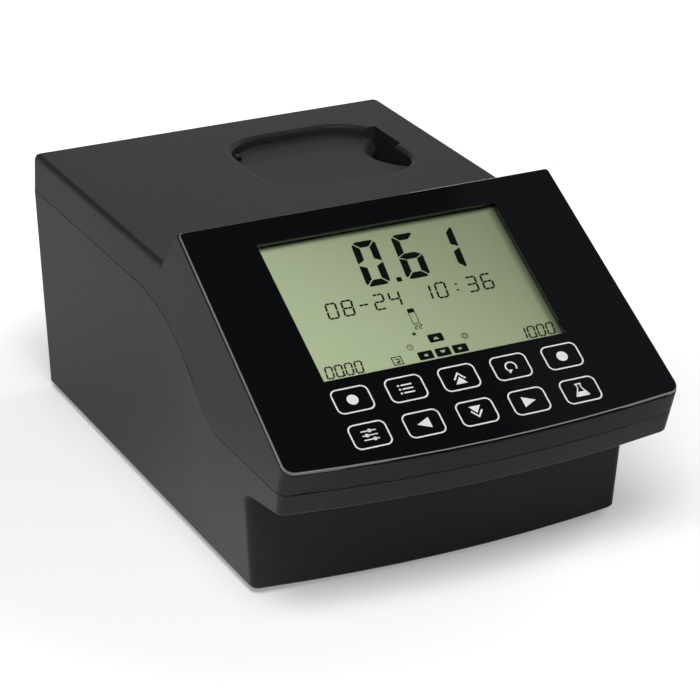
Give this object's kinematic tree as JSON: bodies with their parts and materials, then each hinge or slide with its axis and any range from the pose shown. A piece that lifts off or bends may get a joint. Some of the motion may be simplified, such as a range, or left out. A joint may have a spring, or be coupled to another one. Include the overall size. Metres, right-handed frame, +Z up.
{
  "type": "visible spectrophotometer",
  "caption": "Low dark bench photometer with a tilted display and touch-key panel, a hinged lid over a vial compartment, and lamp, filters, grating and detectors inside.",
  "frame": {"origin": "on the table under the middle of the outline", "axes": "+X to the user's right, +Y to the rear, +Z up"},
  "size_m": [0.205, 0.3217, 0.155],
  "materials": {
    "casing_plastic": "satin, fine grain",
    "panel_gloss": "high gloss",
    "clear_glass": "clear, polished",
    "display_film": "satin reflective film",
    "light_guide": "frosted white",
    "circuit_board": "satin solder mask",
    "liner_plastic": "matt",
    "foot_rubber": "matt",
    "seal_foam": "open foam",
    "steel": "plain",
    "bench_alloy": "machined",
    "black_alloy": "black anodised",
    "gear_brass": "machined",
    "mirror_glass": "first surface mirror",
    "holder_white": "unglazed white, heat-proof",
    "cell_wrap": "shrink wrap",
    "ribbon_jacket": "matt"
  },
  "bodies": {
    "casing": {"bottom_shell": "casing_plastic", "top_shell": "casing_plastic", "rear_plate": "casing_plastic", "battery_cover": "casing_plastic", "lamp_cover": "casing_plastic", "foot_front_left": "foot_rubber", "foot_front_right": "foot_rubber", "foot_rear_left": "foot_rubber", "foot_rear_right": "foot_rubber", "case_screw_front_left": "steel", "case_screw_front_right": "steel", "case_screw_rear_left": "steel", "case_screw_rear_right": "steel", "lamp_cover_screw": "steel", "display_panel": "panel_gloss", "display_window": "clear_glass", "lcd_module": "display_film", "lcd_backlight": "light_guide", "touch_board": "circuit_board", "main_board": "circuit_board", "ribbon_cable": "ribbon_jacket", "lid_pin_front": "steel", "lid_pin_rear": "steel", "cuvette_well": "liner_plastic", "vial_adapter": "liner_plastic", "optical_bench": "bench_alloy", "lamp_house": "black_alloy", "lamp_holder": "holder_white", "halogen_lamp": "clear_glass", "condenser_lens": "clear_glass", "filter_motor": "steel", "monochromator_cover": "black_alloy", "entrance_slit": "black_alloy", "exit_slit": "black_alloy", "collimating_mirror": "mirror_glass", "focusing_mirror": "mirror_glass", "grating_motor": "steel", "beam_splitter": "clear_glass", "reference_detector": "steel", "sample_lens": "clear_glass", "sample_detector": "circuit_board", "battery_pack": "cell_wrap", "port_board": "circuit_board", "power_inlet": "liner_plastic", "usb_a_port": "steel", "usb_c_port": "steel", "rocker_housing": "liner_plastic"},
    "lid": {"lid": "casing_plastic", "lid_seal": "seal_foam", "lid_magnet": "steel"},
    "grating": {"grating_table": "bench_alloy", "diffraction_grating": "mirror_glass", "grating_sector": "gear_brass"},
    "pinion": {"motor_pinion": "gear_brass"},
    "filter_wheel": {"filter_wheel": "black_alloy", "filter_glass_1": "clear_glass", "filter_glass_2": "clear_glass", "filter_glass_3": "clear_glass"},
    "power_rocker": {"power_rocker": "liner_plastic"}
  },
  "joints": [
    {"name": "lid_hinge", "type": "hinge", "parent": "casing", "child": "lid", "pos_m": [-0.0038, 0.0894, 0.1294], "axis": [0, -1, 0], "range_deg": [0, 95]},
    {"name": "grating_turn", "type": "hinge", "parent": "casing", "child": "grating", "pos_m": [-0.0152, 0.02, 0.042], "axis": [0, 0, 1], "range_deg": [-18, 18]},
    {"name": "pinion_turn", "type": "hinge", "parent": "casing", "child": "pinion", "pos_m": [0.0128, 0.02, 0.012], "axis": [0, 0, 1], "range_deg": [-60, 60]},
    {"name": "filter_wheel_turn", "type": "hinge", "parent": "casing", "child": "filter_wheel", "pos_m": [-0.052, 0.058, 0.062], "axis": [0, 1, 0], "continuous": true},
    {"name": "rocker_tilt", "type": "hinge", "parent": "casing", "child": "power_rocker", "pos_m": [0.046, 0.1536, 0.034], "axis": [0, 0, 1], "range_deg": [0, 24]}
  ],
  "couplings": [
    {"joint": "pinion_turn", "follows": "grating_turn", "ratio": -3}
  ]
}
